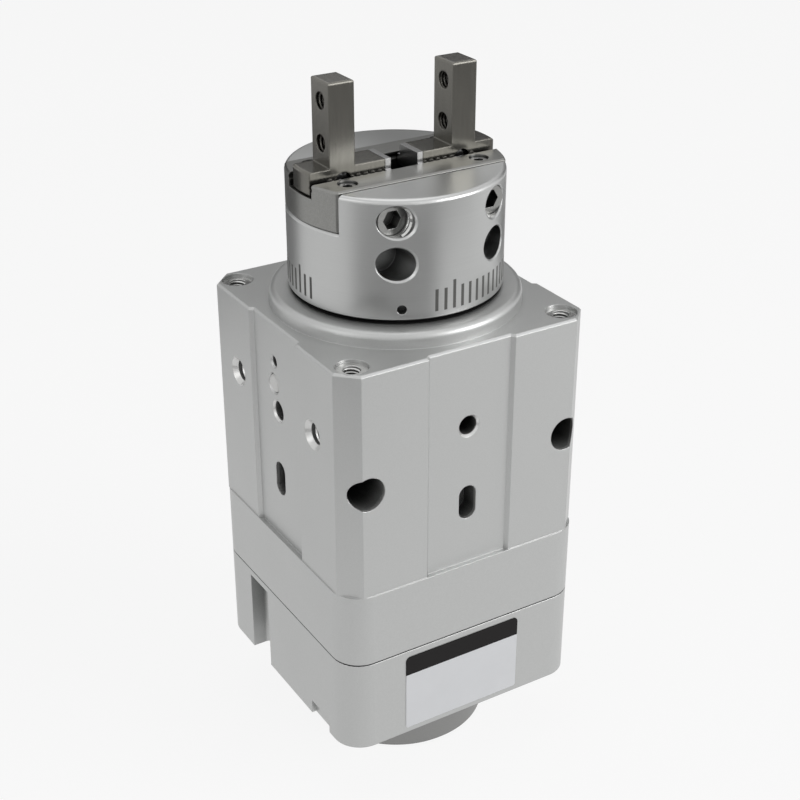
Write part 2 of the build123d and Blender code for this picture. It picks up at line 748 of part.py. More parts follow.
# Guide rail: a hardened channel across the drum, its ends round like the drum, with ball grooves in
# its walls, a window for the spool and a slot for the levers
with BuildPart() as guide_rail:
    with BuildSketch(Plane.XY.offset(guide_z)):
        Circle(guide_end_r)
        Rectangle(2 * guide_end_r, 2 * guide_half_width, mode=Mode.INTERSECT)
    extrude(amount=guide_height)
    chamfer(guide_rail.edges(), guide_edge)
    with BuildSketch(Plane.XY.offset(track_z)):
        Rectangle(2 * drum_r, 2 * track_half_width)
    extrude(amount=track_depth, mode=Mode.SUBTRACT)
    with BuildSketch(Plane.YZ.offset(-drum_r)):
        with Locations((-ball_line, ball_z), (ball_line, ball_z)):
            Circle(ball_r + run)
    extrude(amount=2 * drum_r, mode=Mode.SUBTRACT)
    # Round pocket for the spool from below, and the openings of the track's floor above it
    with BuildSketch(Plane.XY.offset(guide_z)):
        Circle(spool_cavity_r)
    extrude(amount=rail_pocket_height, mode=Mode.SUBTRACT)
    with BuildSketch(Plane.XY.offset(guide_z)):
        Rectangle(rail_window_length, 2 * track_half_width)
        Rectangle(lever_slot_length, lever_thickness + 2 * side_play)
    extrude(amount=guide_height, mode=Mode.SUBTRACT)
    with BuildSketch(Plane.XY.offset(guide_z)):
        with GridLocations(2 * guide_screw_x, 2 * guide_screw_y, 2, 2):
            Circle(guide_screw_r + seat)
    extrude(amount=guide_height, mode=Mode.SUBTRACT)
    with BuildSketch(Plane.XY.offset(guide_top_z)):
        with GridLocations(2 * guide_screw_x, 2 * guide_screw_y, 2, 2):
            Circle(guide_screw_head_r + run)
    extrude(amount=-guide_screw_head - guide_screw_sink, mode=Mode.SUBTRACT)
save(guide_rail, "guide_rail")

# Screws of the rail, heads sunk in its top
guide_screw_seat_z = guide_top_z - guide_screw_sink - guide_screw_head
guide_screw_shank = guide_screw_seat_z - guide_z + guide_screw_bite
guide_screw = socket_screw(
    guide_screw_head_r, guide_screw_head, guide_screw_r, guide_screw_shank, guide_screw_key
)
with BuildPart() as guide_screws:
    with Locations(Location((0, 0, guide_screw_seat_z), (180, 0, 0))):
        with GridLocations(2 * guide_screw_x, 2 * guide_screw_y, 2, 2):
            add(guide_screw.part)
save(guide_screws, "guide_screws")

# Pins that the levers swing on
with BuildPart() as lever_pins:
    with BuildSketch(Plane.XZ.offset(-lever_pin_length / 2)):
        with Locations((-lever_pivot_x, pivot_z), (lever_pivot_x, pivot_z)):
            Circle(lever_pin_r)
    extrude(amount=lever_pin_length)
save(lever_pins, "lever_pins")

# Cylinder tube: turned, screwed up over the head's shank, with a stub for the lower bearing and the
# shaft, and a passage from each air channel
stub_z = lower_race_z - head_gap
spigot_top_z = stub_z + spigot_length
collar_step_r = lower_race_r + lower_race_wall - seat
with BuildPart() as cylinder_tube:
    with BuildSketch(Plane.XZ):
        with BuildLine():
            Polyline(
                (0, spigot_top_z + seat),
                (spigot_r + seat, spigot_top_z + seat),
                (spigot_r + seat, stub_z),
                (lower_race_r - seat, stub_z),
                (lower_race_r - seat, lower_race_top_z),
                (collar_step_r, lower_race_top_z),
                (collar_step_r, tube_z),
                (tube_r, tube_z),
                (tube_r, race_z),
                (upper_race_r, race_z),
                (upper_race_r, bore_top_z),
                (bore_r, bore_top_z),
                (bore_r, bore_z),
                (0, bore_z),
                close=True,
            )
        make_face()
    revolve(axis=Axis.Z)
    with BuildSketch(Plane.XZ):
        with Locations((0, low_channel_z), (0, high_channel_z)):
            Circle(passage_r)
    extrude(amount=-tube_r, mode=Mode.SUBTRACT)
    # Flat in the bore of the stub, which the shaft's spigot turns
    with BuildSketch(Plane.XY.offset(stub_z)):
        Circle(spigot_r + 2 * seat)
        with Locations((spigot_r - spigot_flat, 0)):
            Rectangle(2 * spigot_r, 2 * spigot_r, align=(Align.MIN, Align.CENTER), mode=Mode.INTERSECT)
    extrude(amount=spigot_length + seat)
save(cylinder_tube, "cylinder_tube")

tube_seal = turned_ring(
    upper_race_r - seat,
    upper_race_r - seat - tube_seal_depth,
    bore_top_z + tube_seal_place,
    bore_top_z + tube_seal_place + tube_seal_height,
)
save(tube_seal, "tube_seal")

# Inner rings and balls of the head's bearings
upper_bearing_inner_ring = race(
    upper_race_r + upper_race_wall,
    upper_race_r,
    race_z,
    upper_race_width,
    upper_ball_line,
    upper_ball_r + seat,
)
save(upper_bearing_inner_ring, "upper_bearing_inner_ring")

lower_bearing_inner_ring = race(
    lower_race_r + lower_race_wall,
    lower_race_r,
    lower_race_z,
    lower_race_width,
    lower_ball_line,
    lower_ball_r + seat,
)
save(lower_bearing_inner_ring, "lower_bearing_inner_ring")

with BuildPart() as upper_bearing_balls:
    with Locations((0, 0, race_z + upper_race_width / 2)):
        with PolarLocations(upper_ball_line, upper_ball_count):
            Sphere(upper_ball_r)
save(upper_bearing_balls, "upper_bearing_balls")

with BuildPart() as lower_bearing_balls:
    with Locations((0, 0, lower_race_z + lower_race_width / 2)):
        with PolarLocations(lower_ball_line, lower_ball_count):
            Sphere(lower_ball_r)
save(lower_bearing_balls, "lower_bearing_balls")

# Vane shaft: journal and square tang below, a blade in the chamber, and the flatted spigot that
# turns the cylinder tube
vane_r = chamber_r - vane_gap
blade_r = vane_r - vane_rubber
blade_z = chamber_z + vane_rubber
blade_height = chamber_height - 2 * vane_rubber
with BuildPart() as vane_shaft:
    with BuildSketch(Plane.XZ):
        with BuildLine():
            Polyline(
                (0, foot_height - head_gap),
                (journal_r, foot_height - head_gap),
                (journal_r, chamber_z + vane_gap),
                (shaft_r, chamber_z + vane_gap),
                (shaft_r, stub_z - seat),
                (spigot_r, stub_z - seat),
                (spigot_r, spigot_top_z),
                (0, spigot_top_z),
                close=True,
            )
        make_face()
    revolve(axis=Axis.Z)
    with BuildSketch(Plane.XY.offset(stub_z - seat)):
        with Locations((spigot_r - spigot_flat - seat, 0)):
            Rectangle(2 * spigot_r, 2 * spigot_r, align=(Align.MIN, Align.CENTER))
    extrude(amount=spigot_length + 2 * seat, mode=Mode.SUBTRACT)
    with BuildSketch(Plane.XY.offset(foot_height - head_gap)):
        Rectangle(tang_side, tang_side)
    extrude(amount=-tang_length)
    with BuildSketch(Plane.XY.offset(blade_z)):
        Rectangle(blade_r, vane_core_thickness, align=(Align.MAX, Align.CENTER))
    extrude(amount=blade_height)
save(vane_shaft, "vane_shaft")

# Vane: the rubber moulded round the blade, as high as the chamber
with BuildPart() as vane:
    with BuildSketch(Plane.XZ.rotated((0, 0, 180 - vane_half_angle))):
        with Locations((shaft_r + seat, chamber_z + vane_gap)):
            Rectangle(vane_r - shaft_r - seat, chamber_height - 2 * vane_gap, align=Align.MIN)
    revolve(axis=Axis.Z, revolution_arc=2 * vane_half_angle)
    fillet(vane.edges().filter_by(Axis.Z), edge_break)
    with BuildSketch(Plane.XY.offset(blade_z - seat)):
        Rectangle(
            blade_r + seat, vane_core_thickness + 2 * seat, align=(Align.MAX, Align.CENTER)
        )
    extrude(amount=blade_height + 2 * seat, mode=Mode.SUBTRACT)
save(vane, "vane")

# Piston with its seal and magnet ring, and the rod whose spool holds the levers' toes
piston_r = bore_r - run
seal_low = piston_z + piston_length - 2 * piston_seal_height
magnet_low = piston_z + piston_seal_height
with BuildPart() as piston:
    with BuildSketch(Plane.XZ):
        with Locations((rod_r + seat, piston_z)):
            Rectangle(piston_r - rod_r - seat, piston_length, align=Align.MIN)
        with Locations((piston_r, seal_low)):
            Rectangle(
                piston_seal_depth,
                piston_seal_height,
                align=(Align.MAX, Align.MIN),
                mode=Mode.SUBTRACT,
            )
        with Locations((piston_r, magnet_low)):
            Rectangle(
                magnet_depth, magnet_height, align=(Align.MAX, Align.MIN), mode=Mode.SUBTRACT
            )
    revolve(axis=Axis.Z)
save(piston, "piston")

piston_seal = turned_ring(
    piston_r, piston_r - piston_seal_depth + seat, seal_low, seal_low + piston_seal_height
)
save(piston_seal, "piston_seal")

piston_magnet = turned_ring(
    piston_r, piston_r - magnet_depth + seat, magnet_low, magnet_low + magnet_height
)
save(piston_magnet, "piston_magnet")

with BuildPart() as piston_rod:
    with BuildSketch(Plane.XZ):
        with BuildLine():
            Polyline(
                (0, piston_z),
                (rod_r, piston_z),
                (rod_r, spool_z - spool_gap / 2 - spool_flange),
                (spool_flange_r, spool_z - spool_gap / 2 - spool_flange),
                (spool_flange_r, spool_z - spool_gap / 2),
                (spool_neck_r, spool_z - spool_gap / 2),
                (spool_neck_r, spool_z + spool_gap / 2),
                (spool_flange_r, spool_z + spool_gap / 2),
                (spool_flange_r, spool_z + spool_gap / 2 + spool_flange),
                (0, spool_z + spool_gap / 2 + spool_flange),
                close=True,
            )
        make_face()
    revolve(axis=Axis.Z)
    chamfer(piston_rod.edges().group_by(Axis.Z)[0], edge_break)
save(piston_rod, "piston_rod")

# Levers: bell cranks with a round tip in the carriage and a round toe in the spool. Each leans
# outward by half of its swing, and the left one is the mirror image of the right one.
lean = radians(half_swing)
lever_plane = Plane(
    origin=(lever_pivot_x, -lever_thickness / 2, pivot_z),
    x_dir=(cos(lean), 0, -sin(lean)),
    z_dir=(0, -1, 0),
)
with BuildPart() as right_lever:
    with BuildSketch(lever_plane):
        Circle(lever_hub_r)
        with Locations((0, lever_arm)):
            Circle(lever_tip_r)
        with Locations((-lever_reach, 0)):
            Circle(lever_toe_r)
        Rectangle(lever_neck, lever_arm, align=(Align.CENTER, Align.MIN))
        Rectangle(lever_reach, lever_neck, align=(Align.MAX, Align.CENTER))
        Circle(lever_pin_r + run, mode=Mode.SUBTRACT)
    extrude(amount=-lever_thickness)
save(right_lever, "right_lever")

with BuildPart() as left_lever:
    mirror(right_lever.part, about=Plane.YZ)
save(left_lever, "left_lever")

# Fingers: carriage and upright post in one, with a slot below for the lever's tip, ball grooves
# along both sides and two threaded holes through the post
tip_x = lever_pivot_x + finger_stroke / 2
tip_slot = lever_tip_r + run
with BuildPart() as right_finger:
    with BuildSketch(Plane.XY.offset(carriage_z)):
        Circle(carriage_outer_r)
        with Locations((carriage_inner, 0)):
            Rectangle(drum_r, finger_width, align=(Align.MIN, Align.CENTER), mode=Mode.INTERSECT)
    extrude(amount=carriage_height)
    carriage_rim = right_finger.edges().group_by(Axis.Z)[-1].filter_by(GeomType.CIRCLE)
    fillet(carriage_rim, carriage_edge_r)
    with BuildSketch(Plane.XY.offset(carriage_top_z)):
        with Locations((finger_centre, 0)):
            Rectangle(finger_thickness, finger_width)
    extrude(amount=finger_height)
    fillet(right_finger.edges().group_by(Axis.Z)[-1], finger_edge_r)
    finger_side = Plane(
        origin=(finger_centre + finger_thickness / 2, 0, finger_top_z), x_dir=(0, 1, 0), z_dir=(1, 0, 0)
    )
    with Locations(finger_side):
        with Locations((0, -finger_hole_tip), (0, -finger_hole_tip - finger_hole_pitch)):
            Hole(finger_hole_r, depth=finger_thickness)
    with BuildSketch(Plane.YZ.offset(carriage_inner)):
        with Locations((-ball_line, ball_z), (ball_line, ball_z)):
            Circle(ball_r + seat)
    extrude(amount=drum_r, mode=Mode.SUBTRACT)
    with BuildSketch(Plane.XZ.offset(-finger_width / 2)):
        with Locations((tip_x, pivot_z + lever_arm)):
            Circle(tip_slot)
            Rectangle(2 * tip_slot, lever_arm, align=(Align.CENTER, Align.MAX))
    extrude(amount=finger_width, mode=Mode.SUBTRACT)
save(right_finger, "right_finger")

with BuildPart() as left_finger:
    mirror(right_finger.part, about=Plane.YZ)
save(left_finger, "left_finger")

# End plates that keep the balls in at the carriages' inner ends
with BuildPart() as right_end_plate:
    with BuildSketch(Plane.YZ.offset(carriage_inner)):
        with Locations((0, carriage_z)):
            Rectangle(finger_width, carriage_height, align=(Align.CENTER, Align.MIN))
            Rectangle(
                finger_width + 2 * end_plate_wing,
                end_plate_wing_height,
                align=(Align.CENTER, Align.MIN),
            )
    extrude(amount=-end_plate_thickness)
save(right_end_plate, "right_end_plate")

with BuildPart() as left_end_plate:
    mirror(right_end_plate.part, about=Plane.YZ)
save(left_end_plate, "left_end_plate")

# Balls between the carriages and the rail's walls
first_ball_x = carriage_inner + ball_r + run
with BuildPart() as right_finger_balls:
    for side in (-1, 1):
        for index in range(ball_count):
            with Locations((first_ball_x + index * ball_pitch, side * ball_line, ball_z)):
                Sphere(ball_r)
save(right_finger_balls, "right_finger_balls")

with BuildPart() as left_finger_balls:
    mirror(right_finger_balls.part, about=Plane.YZ)
save(left_finger_balls, "left_finger_balls")
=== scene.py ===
import math

import bmesh
import bpy
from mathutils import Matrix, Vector


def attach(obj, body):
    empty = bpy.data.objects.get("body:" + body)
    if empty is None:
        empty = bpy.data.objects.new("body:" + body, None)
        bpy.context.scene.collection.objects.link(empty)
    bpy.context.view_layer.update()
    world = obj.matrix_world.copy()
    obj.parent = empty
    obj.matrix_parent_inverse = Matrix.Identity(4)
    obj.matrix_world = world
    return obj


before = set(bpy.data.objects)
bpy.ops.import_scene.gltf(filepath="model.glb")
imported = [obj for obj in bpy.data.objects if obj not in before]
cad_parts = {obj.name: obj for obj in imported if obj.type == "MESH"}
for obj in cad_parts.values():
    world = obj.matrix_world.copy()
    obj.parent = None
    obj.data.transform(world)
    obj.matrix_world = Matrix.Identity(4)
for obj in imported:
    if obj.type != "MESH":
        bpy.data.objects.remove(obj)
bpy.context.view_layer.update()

# The bench: a pale matt table top with white all round it, lit by two soft boxes and an overhead
# one. Dark cards lie round the unit and one stands behind it, and only metal picks them up. The
# camera looks down on the unit's front left corner through a long lens.
scene = bpy.context.scene
scene.view_settings.view_transform = "Standard"

bench_half = 3.0
bench_tone = (0.86, 0.86, 0.86, 1)
bench_glow_share = 0.88
floor_mesh = bpy.data.meshes.new("bench_top")
floor_form = bmesh.new()
bmesh.ops.create_grid(floor_form, x_segments=8, y_segments=8, size=bench_half)
floor_form.to_mesh(floor_mesh)
floor_form.free()
floor = bpy.data.objects.new("bench_top", floor_mesh)
scene.collection.objects.link(floor)

bench_white = bpy.data.materials.new("bench_white")
bench_white.use_nodes = True
bench_nodes = bench_white.node_tree.nodes
bench_links = bench_white.node_tree.links
bench_shader = bench_nodes["Principled BSDF"]
bench_shader.inputs["Base Color"].default_value = bench_tone
bench_shader.inputs["Roughness"].default_value = 0.9
bench_shader.inputs["Specular IOR Level"].default_value = 0.1
bench_glow = bench_nodes.new("ShaderNodeEmission")
bench_mix = bench_nodes.new("ShaderNodeMixShader")
bench_rays = bench_nodes.new("ShaderNodeLightPath")
bench_share = bench_nodes.new("ShaderNodeMath")
bench_share.operation = "MULTIPLY"
bench_share.inputs[1].default_value = bench_glow_share
bench_seen = bench_nodes.new("ShaderNodeMath")
bench_seen.operation = "MAXIMUM"
bench_links.new(bench_rays.outputs["Is Camera Ray"], bench_seen.inputs[0])
bench_links.new(bench_rays.outputs["Is Glossy Ray"], bench_seen.inputs[1])
bench_links.new(bench_seen.outputs[0], bench_share.inputs[0])
bench_links.new(bench_share.outputs[0], bench_mix.inputs["Fac"])
bench_links.new(bench_shader.outputs["BSDF"], bench_mix.inputs[1])
bench_links.new(bench_glow.outputs["Emission"], bench_mix.inputs[2])
bench_links.new(bench_mix.outputs["Shader"], bench_nodes["Material Output"].inputs["Surface"])
floor_mesh.materials.append(bench_white)

card_tone = (0.01, 0.01, 0.01, 1)
card_steps = 8
card_grey = bpy.data.materials.new("card_grey")
card_grey.use_nodes = True
card_grey.node_tree.nodes["Principled BSDF"].inputs["Base Color"].default_value = card_tone
for name, near, far, start, end, low, high in (
    ("drum_card", 0.160, 0.310, 197, 280, 0.001, 0.001),
    ("finger_front_card", 0.270, 1.200, 276, 322, 0.001, 0.001),
    ("left_card", 0.170, 0.350, 60, 122, 0.001, 0.001),
    ("right_edge_card", 0.190, 0.300, 8, 38, 0.001, 0.001),
    ("rear_card", 0.150, 0.151, 5, 112, 0.075, 0.156),
):
    corners = []
    for step in range(card_steps + 1):
        turn = math.radians(start + (end - start) * step / card_steps)
        corners.append((near * math.cos(turn), near * math.sin(turn), low))
        corners.append((far * math.cos(turn), far * math.sin(turn), high))
    faces = [(i, i + 1, i + 3, i + 2) for i in range(0, 2 * card_steps, 2)]
    card_mesh = bpy.data.meshes.new(name)
    card_mesh.from_pydata(corners, [], faces)
    card_mesh.materials.append(card_grey)
    card = bpy.data.objects.new(name, card_mesh)
    card.visible_camera = False
    card.visible_diffuse = False
    card.visible_shadow = False
    scene.collection.objects.link(card)

room_fill = 0.26
room = bpy.data.worlds.new("white_room")
scene.world = room
room.use_nodes = True
room_nodes = room.node_tree.nodes
room_links = room.node_tree.links
room_light = room_nodes["Background"]
room_light.inputs["Color"].default_value = (1, 1, 1, 1)
room_light.inputs["Strength"].default_value = room_fill
room_seen = room_nodes.new("ShaderNodeBackground")
room_seen.inputs["Color"].default_value = (1, 1, 1, 1)
room_seen.inputs["Strength"].default_value = 1.0
room_rays = room_nodes.new("ShaderNodeLightPath")
room_glossy = room_nodes.new("ShaderNodeMath")
room_glossy.operation = "MAXIMUM"
room_direct = room_nodes.new("ShaderNodeMath")
room_direct.operation = "MAXIMUM"
room_mix = room_nodes.new("ShaderNodeMixShader")
room_links.new(room_rays.outputs["Is Glossy Ray"], room_glossy.inputs[0])
room_links.new(room_rays.outputs["Is Transmission Ray"], room_glossy.inputs[1])
room_links.new(room_rays.outputs["Is Camera Ray"], room_direct.inputs[0])
room_links.new(room_glossy.outputs[0], room_direct.inputs[1])
room_links.new(room_direct.outputs[0], room_mix.inputs["Fac"])
room_links.new(room_light.outputs["Background"], room_mix.inputs[1])
room_links.new(room_seen.outputs["Background"], room_mix.inputs[2])
room_links.new(room_mix.outputs["Shader"], room_nodes["World Output"].inputs["Surface"])

lamp_aim = Vector((0, 0, 0.05))
for name, place, width, watts in (
    ("soft_box_right", (0.42, -0.56, 0.30), 0.42, 2.8),
    ("soft_box_left", (-0.62, -0.10, 0.34), 0.35, 0.36),
    ("soft_box_above", (0.05, 0.10, 0.80), 0.60, 0.8),
):
    lamp = bpy.data.lights.new(name, "AREA")
    lamp.size = width
    lamp.energy = watts
    holder = bpy.data.objects.new(name, lamp)
    holder.location = place
    holder.rotation_euler = (lamp_aim - Vector(place)).to_track_quat("-Z", "Y").to_euler()
    scene.collection.objects.link(holder)

camera_aim = Vector((0.000564, -0.000343, 0.05635))
lens = bpy.data.cameras.new("camera")
lens.lens = 68.04
lens.sensor_width = 36.0
lens.clip_start = 0.01
camera = bpy.data.objects.new("camera", lens)
camera.location = (-0.10715, -0.17715, 0.16459)
camera.rotation_euler = (camera_aim - camera.location).to_track_quat("-Z", "Y").to_euler()
scene.collection.objects.link(camera)
scene.camera = camera


# Foot: the round aluminium cover under the unit, blasted with glass beads and clear anodised like
# both housings. The blast leaves an even fine grain, and the anodising makes it satin.
def worked(name, colour, roughness, metallic, marks, spread, depth, edge, hollow_painted_shade):
    """A finish with tool marks stretched on each axis, a soft edge, and painted shade in hollows.
    """
    finish = bpy.data.materials.new(name)
    finish.use_nodes = True
    nodes = finish.node_tree.nodes
    links = finish.node_tree.links
    skin = nodes["Principled BSDF"]
    skin.inputs["Metallic"].default_value = metallic
    skin.inputs["Specular IOR Level"].default_value = 0.4
    place = nodes.new("ShaderNodeTexCoord")
    stretch = nodes.new("ShaderNodeMapping")
    stretch.inputs["Scale"].default_value = marks
    grain = nodes.new("ShaderNodeTexNoise")
    grain.inputs["Scale"].default_value = 1.0
    grain.inputs["Detail"].default_value = 3.0
    cloud = nodes.new("ShaderNodeTexNoise")
    cloud.inputs["Scale"].default_value = 60.0
    cloud.inputs["Detail"].default_value = 2.0
    tint = nodes.new("ShaderNodeMix")
    tint.data_type = "RGBA"
    tint.inputs["A"].default_value = tuple(c * (1 - spread) for c in colour) + (1,)
    tint.inputs["B"].default_value = tuple(min(1.0, c * (1 + spread)) for c in colour) + (1,)
    # Painted shade: ambient occlusion darkens the base colour in hollows, creases and between
    # parts, the more the deeper they are.
    inside = nodes.new("ShaderNodeAmbientOcclusion")
    inside.samples = 8
    inside.inputs["Distance"].default_value = 0.008
    painted_shade_range = nodes.new("ShaderNodeMapRange")
    painted_shade_range.inputs["From Min"].default_value = 0.12
    painted_shade_range.inputs["From Max"].default_value = 0.50
    painted_shade_range.inputs["To Min"].default_value = hollow_painted_shade
    painted_shade_tint = nodes.new("ShaderNodeMix")
    painted_shade_tint.data_type = "RGBA"
    painted_shade_tint.blend_type = "MULTIPLY"
    painted_shade_tint.inputs["Factor"].default_value = 1.0
    gloss = nodes.new("ShaderNodeMapRange")
    gloss.inputs["To Min"].default_value = roughness - 0.06
    gloss.inputs["To Max"].default_value = roughness + 0.06
    relief = nodes.new("ShaderNodeBump")
    relief.inputs["Strength"].default_value = 0.15
    relief.inputs["Distance"].default_value = depth
    round_edge = nodes.new("ShaderNodeBevel")
    round_edge.samples = 4
    round_edge.inputs["Radius"].default_value = edge
    links.new(place.outputs["Object"], stretch.inputs["Vector"])
    links.new(place.outputs["Object"], cloud.inputs["Vector"])
    links.new(stretch.outputs["Vector"], grain.inputs["Vector"])
    links.new(grain.outputs["Fac"], tint.inputs["Factor"])
    links.new(inside.outputs["AO"], painted_shade_range.inputs["Value"])
    links.new(tint.outputs["Result"], painted_shade_tint.inputs["A"])
    links.new(painted_shade_range.outputs["Result"], painted_shade_tint.inputs["B"])
    links.new(painted_shade_tint.outputs["Result"], skin.inputs["Base Color"])
    links.new(cloud.outputs["Fac"], gloss.inputs["Value"])
    links.new(gloss.outputs["Result"], skin.inputs["Roughness"])
    links.new(round_edge.outputs["Normal"], relief.inputs["Normal"])
    links.new(grain.outputs["Fac"], relief.inputs["Height"])
    links.new(relief.outputs["Normal"], skin.inputs["Normal"])
    return finish


def dress(node, finish):
    """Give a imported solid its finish."""
    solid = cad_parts[node]
    solid.data.materials.clear()
    solid.data.materials.append(finish)


blast = (4500.0, 4500.0, 4500.0)
# Painted shade: the foot's colour is about half the housings', darker for lying under the unit.
foot_shaded_finish = worked(
    "foot_blasted_shaded", colour=(0.265, 0.265, 0.26), roughness=0.44, metallic=0.8,
    marks=blast, spread=0.06, depth=0.00006, edge=0.0002, hollow_painted_shade=0.15,
)
dress("bottom_cover", foot_shaded_finish)


# Screws of the foot and of the housings: stainless socket screws, sunk in from below. Their heads
# are left bright from the turning.
screw_finish = worked(
    "screw_steel", colour=(0.34, 0.34, 0.34), roughness=0.30, metallic=0.95,
    marks=blast, spread=0.2, depth=0.00004, edge=0.0001, hollow_painted_shade=0.08,
)
for node in ("cover_screws", "housing_screws"):
    dress(node, screw_finish)


# Lower housing: a milled aluminium block, blasted and anodised, with two tapped air ports in its
# rear. The tap leaves a bright helical thread down each hole's wall.
def mesh_from(name, form):
    """Turn a form's faces outward and make it a mesh."""
    bmesh.ops.recalc_face_normals(form, faces=form.faces)
    mesh = bpy.data.meshes.new(name)
    form.to_mesh(mesh)
    form.free()
    return mesh


def hung_on(name, mesh, finish, body):
    """Put a finished mesh in the scene as a piece that moves with a body."""
    mesh.materials.append(finish)
    piece = bpy.data.objects.new(name, mesh)
    scene.collection.objects.link(piece)
    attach(piece, body)


def tapped_thread(name, mouth, inward, radius, pitch, depth, height, reach=1.0):
    """A thread that stands off a hole's wall, from its mouth inward, within reach of the axis.

    It rises from the wall over its first half turn and runs out over its last one.
    """
    steps = 28
    root_half = 0.42
    crest_half = 0.08
    sunk = 0.00003
    into = Vector(inward).normalized()
    side = into.orthogonal().normalized()
    across = into.cross(side)
    count = int(depth / pitch * steps)
    form = bmesh.new()
    before = None
    for step in range(count + 1):
        turn = 2 * math.pi * step / steps
        out = side * math.cos(turn) + across * math.sin(turn)
        centre = Vector(mouth) + into * (step * pitch / steps)
        rise = height * min(1.0, 2 * step / steps, 2 * (count - step) / steps)
        row = [
            form.verts.new(centre - into * pitch * root_half + out * (radius + sunk)),
            form.verts.new(centre - into * pitch * crest_half + out * (radius - rise)),
            form.verts.new(centre + into * pitch * crest_half + out * (radius - rise)),
            form.verts.new(centre + into * pitch * root_half + out * (radius + sunk)),
        ]
        if max(math.hypot(corner.co.x, corner.co.y) for corner in row) > reach:
            bmesh.ops.delete(form, geom=row)
            if before:
                form.faces.new(before[::-1])
            before = None
            continue
        if before:
            for near, far in ((0, 1), (1, 2), (2, 3), (3, 0)):
                form.faces.new((before[near], before[far], row[far], row[near]))
        else:
            form.faces.new(row)
        before = row
    if before:
        form.faces.new(before[::-1])
    return mesh_from(name, form)


housing_finish = worked(
    "housing_blasted", colour=(0.50, 0.505, 0.50), roughness=0.42, metallic=0.8,
    marks=blast, spread=0.06, depth=0.00006, edge=0.0002, hollow_painted_shade=0.10,
)
dress("lower_housing", housing_finish)

port_tap = {"radius": 0.0021, "pitch": 0.0008, "height": 0.00022}
cut_finish = worked(
    "fresh_cut", colour=(0.60, 0.60, 0.59), roughness=0.22, metallic=0.95,
    marks=blast, spread=0.1, depth=0.00003, edge=0.0001, hollow_painted_shade=0.35,
)
for name, x in (("turn_port_thread_left", -0.007), ("turn_port_thread_right", 0.007)):
    coil = tapped_thread(
        name, mouth=(x, 0.0202, 0.0198), inward=(0, -1, 0), depth=0.0046, **port_tap
    )
    hung_on(name, coil, cut_finish, "housing")


# Label: a thin satin film stuck on the lower housing's front, white with a black band along its
# top. Both are left bare.
label_left = -0.01095
label_right = 0.0095
label_low = 0.0116
label_high = 0.0249
label_back = -0.0210
label_front = -0.02108
band_low = 0.0216
square = 0.00001
sheet_grain = (260.0, 260.0, 260.0)


def film_mesh(name, low, high, low_round, high_round):
    """A strip of the label from low to high, with its lower and upper corners rounded."""
    corner_steps = 6
    rim = []
    for x, z, radius, start in (
        (label_left, low, low_round, 180),
        (label_right, low, low_round, 270),
        (label_right, high, high_round, 0),
        (label_left, high, high_round, 90),
    ):
        centre_x = x + radius if x == label_left else x - radius
        centre_z = z + radius if z == low else z - radius
        for step in range(corner_steps + 1):
            turn = math.radians(start + 90 * step / corner_steps)
            rim.append((centre_x + radius * math.cos(turn), centre_z + radius * math.sin(turn)))
    form = bmesh.new()
    rear = [form.verts.new((x, label_back, z)) for x, z in rim]
    face = [form.verts.new((x, label_front, z)) for x, z in rim]
    form.faces.new(face)
    form.faces.new(rear[::-1])
    for index in range(len(rim)):
        after = (index + 1) % len(rim)
        form.faces.new((face[index], rear[index], rear[after], face[after]))
    return mesh_from(name, form)


white_film = worked(
    "label_white", colour=(0.77, 0.78, 0.80), roughness=0.45, metallic=0.0,
    marks=sheet_grain, spread=0.03, depth=0.00003, edge=0.00005, hollow_painted_shade=0.6,
)
sheet = film_mesh("label_sheet", label_low, band_low, low_round=0.0004, high_round=square)
hung_on("label_sheet", sheet, white_film, "housing")
black_film = worked(
    "label_black", colour=(0.006, 0.005, 0.005), roughness=0.60, metallic=0.0,
    marks=sheet_grain, spread=0.1, depth=0.00003, edge=0.00005, hollow_painted_shade=0.6,
)
black_film.node_tree.nodes["Principled BSDF"].inputs["Specular IOR Level"].default_value = 0.2
band = film_mesh("label_band", band_low, label_high, low_round=square, high_round=0.0008)
hung_on("label_band", band, black_film, "housing")


# Inside the lower housing: the chamber's plain cover plate, the bronze bush and the turning shaft,
# and black nitrile seals, vane and stopper, moulded with a fine unevenness.
rubber_finish = worked(
    "seal_rubber", colour=(0.012, 0.012, 0.012), roughness=0.7, metallic=0.0,
    marks=blast, spread=0.2, depth=0.00004, edge=0.0001, hollow_painted_shade=0.5,
)
for node in ("chamber_gasket", "vane_stopper", "shaft_seal", "vane"):
    dress(node, rubber_finish)

dress("chamber_cover", housing_finish)

bush_finish = worked(
    "bush_bronze", colour=(0.45, 0.28, 0.12), roughness=0.38, metallic=0.9,
    marks=blast, spread=0.15, depth=0.00004, edge=0.0001, hollow_painted_shade=0.3,
)
dress("shaft_bush", bush_finish)

bright_finish = worked(
    "bright_steel", colour=(0.60, 0.60, 0.60), roughness=0.18, metallic=0.95,
    marks=blast, spread=0.1, depth=0.00002, edge=0.0001, hollow_painted_shade=0.15,
)
dress("vane_shaft", bright_finish)


